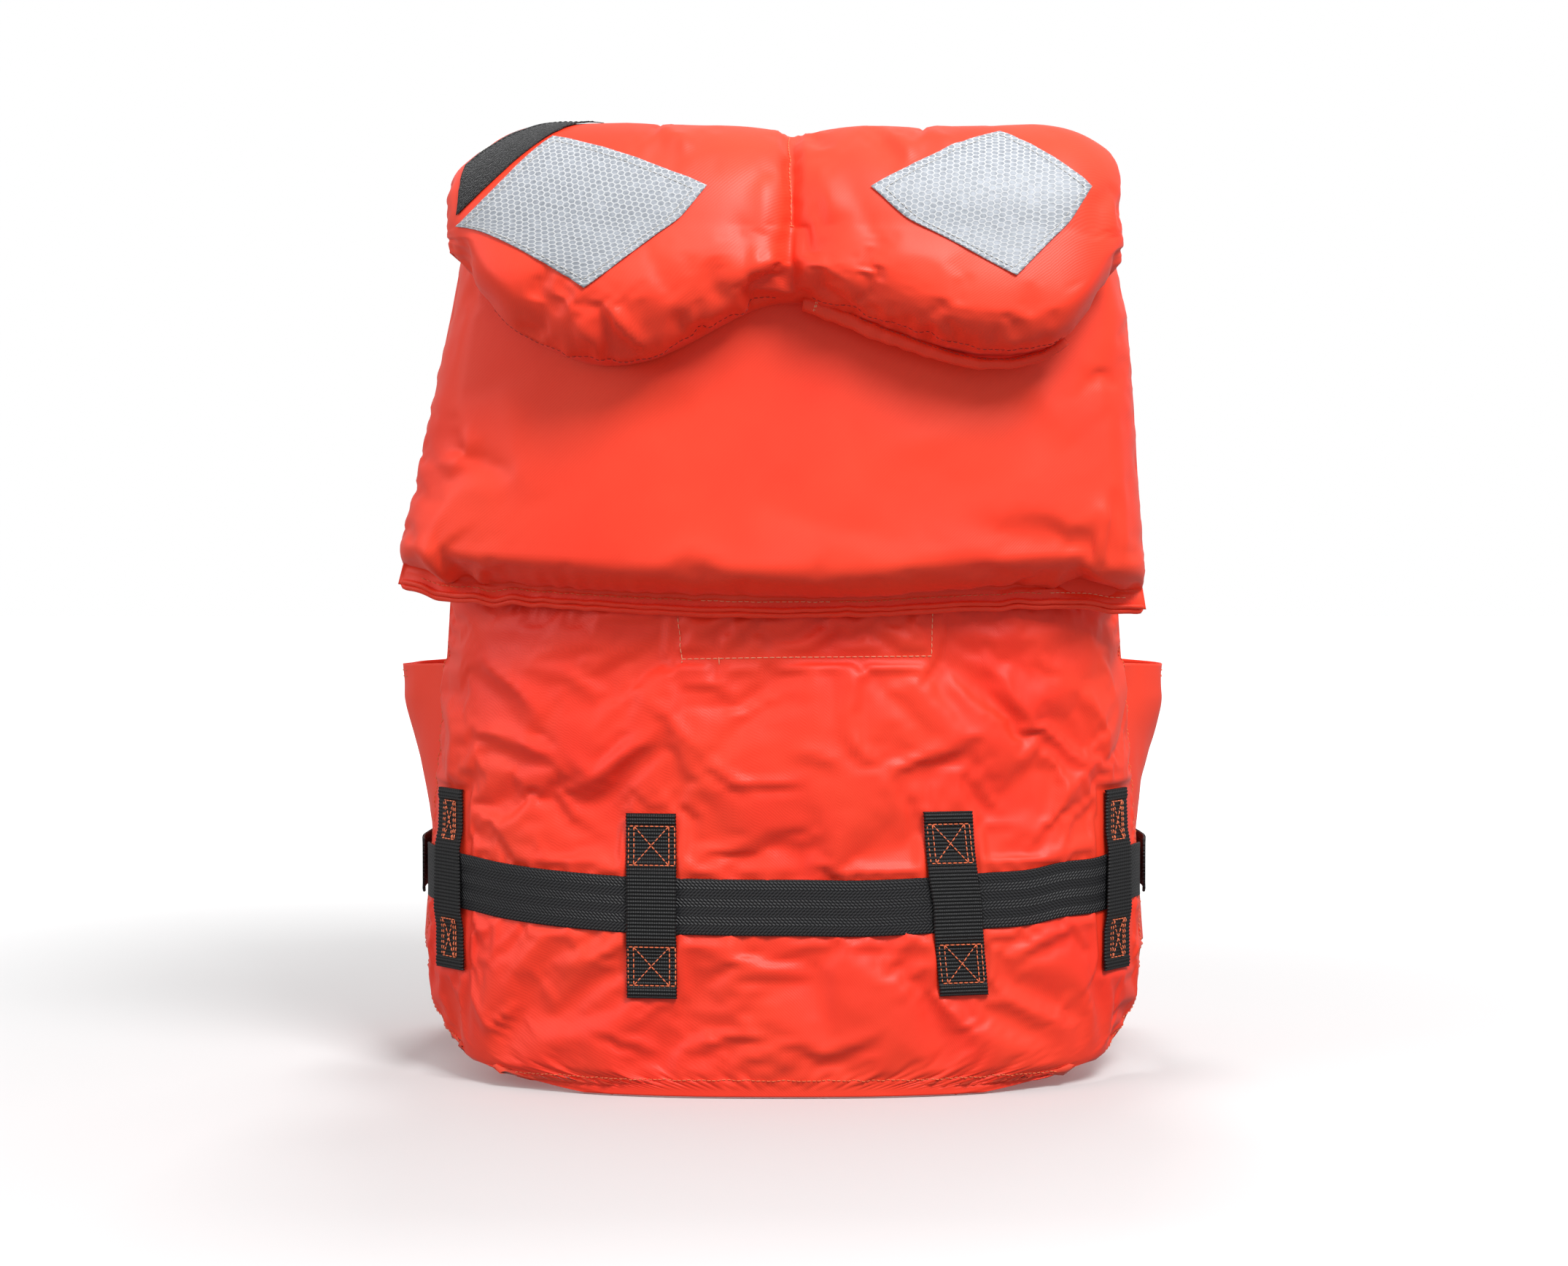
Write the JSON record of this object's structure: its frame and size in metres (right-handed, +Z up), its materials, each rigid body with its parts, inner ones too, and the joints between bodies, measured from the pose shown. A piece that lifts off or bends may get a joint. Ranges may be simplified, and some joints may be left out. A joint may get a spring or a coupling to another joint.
{
  "type": "life jacket",
  "caption": "Adult foam life jacket with a fold-back head pillow, padded back flap, two opening fronts and a webbing belt with a side-release buckle.",
  "frame": {"origin": "on the floor under the middle of the jacket's bounding box, with the jacket standing on its hem", "axes": "+Z up, back faces -Y, front faces +Y, the wearer's left is -X"},
  "size_m": [0.5556, 0.4474, 0.6506],
  "materials": {
    "nylon_shell": "satin nylon, fluorescent orange-red",
    "nylon_lining": "matt nylon",
    "foam": "closed-cell foam",
    "webbing": "ribbed webbing",
    "reflective": "silver film with a honeycomb net",
    "loop_pile": "loop pile",
    "acetal": "moulded acetal"
  },
  "bodies": {
    "back": {"back_shell": "nylon_shell", "back_lining": "nylon_lining", "back_patch_inner": "nylon_lining", "neck_band": "webbing", "shoulder_tab_left": "nylon_shell", "shoulder_tab_right": "nylon_shell", "belt_back": "webbing", "loop_back_left": "webbing", "loop_back_right": "webbing", "loop_side_left": "webbing", "loop_side_right": "webbing"},
    "flap": {"flap_shell": "nylon_shell", "flap_lining": "nylon_lining", "flap_foam_inner": "foam", "flap_foam_outer": "foam", "flap_hem_welt": "nylon_shell"},
    "pillow": {"pillow_shell": "nylon_shell", "pillow_lining": "nylon_lining", "pillow_foam_left": "foam", "pillow_foam_right": "foam", "pillow_reflector_left": "reflective", "pillow_reflector_right": "reflective", "light_patch": "loop_pile", "pillow_casing": "nylon_shell"},
    "front_left": {"front_shell_left": "nylon_shell", "front_lining_left": "nylon_lining", "front_foam_inner_left": "foam", "front_foam_outer_left": "foam", "front_reflector_left": "reflective", "side_panel_left": "nylon_shell", "shoulder_strap_left": "nylon_shell", "belt_front_left": "webbing", "loop_front_left": "webbing", "buckle_socket": "acetal"},
    "front_right": {"front_shell_right": "nylon_shell", "front_lining_right": "nylon_lining", "front_foam_inner_right": "foam", "front_foam_outer_right": "foam", "front_reflector_right": "reflective", "side_panel_right": "nylon_shell", "shoulder_strap_right": "nylon_shell", "belt_front_right": "webbing", "loop_front_right": "webbing"},
    "plug": {"buckle_plug": "acetal", "belt_slide": "webbing"},
    "arm_upper": {"buckle_arm_upper": "acetal"},
    "arm_lower": {"buckle_arm_lower": "acetal"},
    "keeper": {"belt_keeper": "acetal"}
  },
  "joints": [
    {"name": "flap_lift", "type": "hinge", "parent": "back", "child": "flap", "pos_m": [0, -0.1176, 0.6035], "axis": [-1, 0, 0], "range_deg": [0, 25]},
    {"name": "pillow_lift", "type": "hinge", "parent": "flap", "child": "pillow", "pos_m": [0, -0.1176, 0.6035], "axis": [-1, 0, 0], "range_deg": [0, 85]},
    {"name": "front_left_open", "type": "hinge", "parent": "back", "child": "front_left", "pos_m": [-0.266, -0.0031, 0], "axis": [0.0793, -0.0121, 0.9968], "range_deg": [0, 75]},
    {"name": "front_right_open", "type": "hinge", "parent": "back", "child": "front_right", "pos_m": [0.266, -0.0031, 0], "axis": [0.0793, 0.0121, -0.9968], "range_deg": [0, 75]},
    {"name": "plug_in", "type": "slide", "parent": "front_right", "child": "plug", "axis": [-1, 0, 0], "range_m": [0, 0.036]},
    {"name": "arm_upper_squeeze", "type": "hinge", "parent": "plug", "child": "arm_upper", "pos_m": [0.0335, 0.2157, 0.1555], "axis": [0, -1, 0], "range_deg": [0, 8], "stiffness_Nm_per_rad": 0.05},
    {"name": "arm_lower_squeeze", "type": "hinge", "parent": "plug", "child": "arm_lower", "pos_m": [0.0335, 0.2157, 0.1285], "axis": [0, 1, 0], "range_deg": [0, 8], "stiffness_Nm_per_rad": 0.05},
    {"name": "keeper_slide", "type": "slide", "parent": "plug", "child": "keeper", "axis": [1, 0, 0], "range_m": [0, 0.016]}
  ]
}
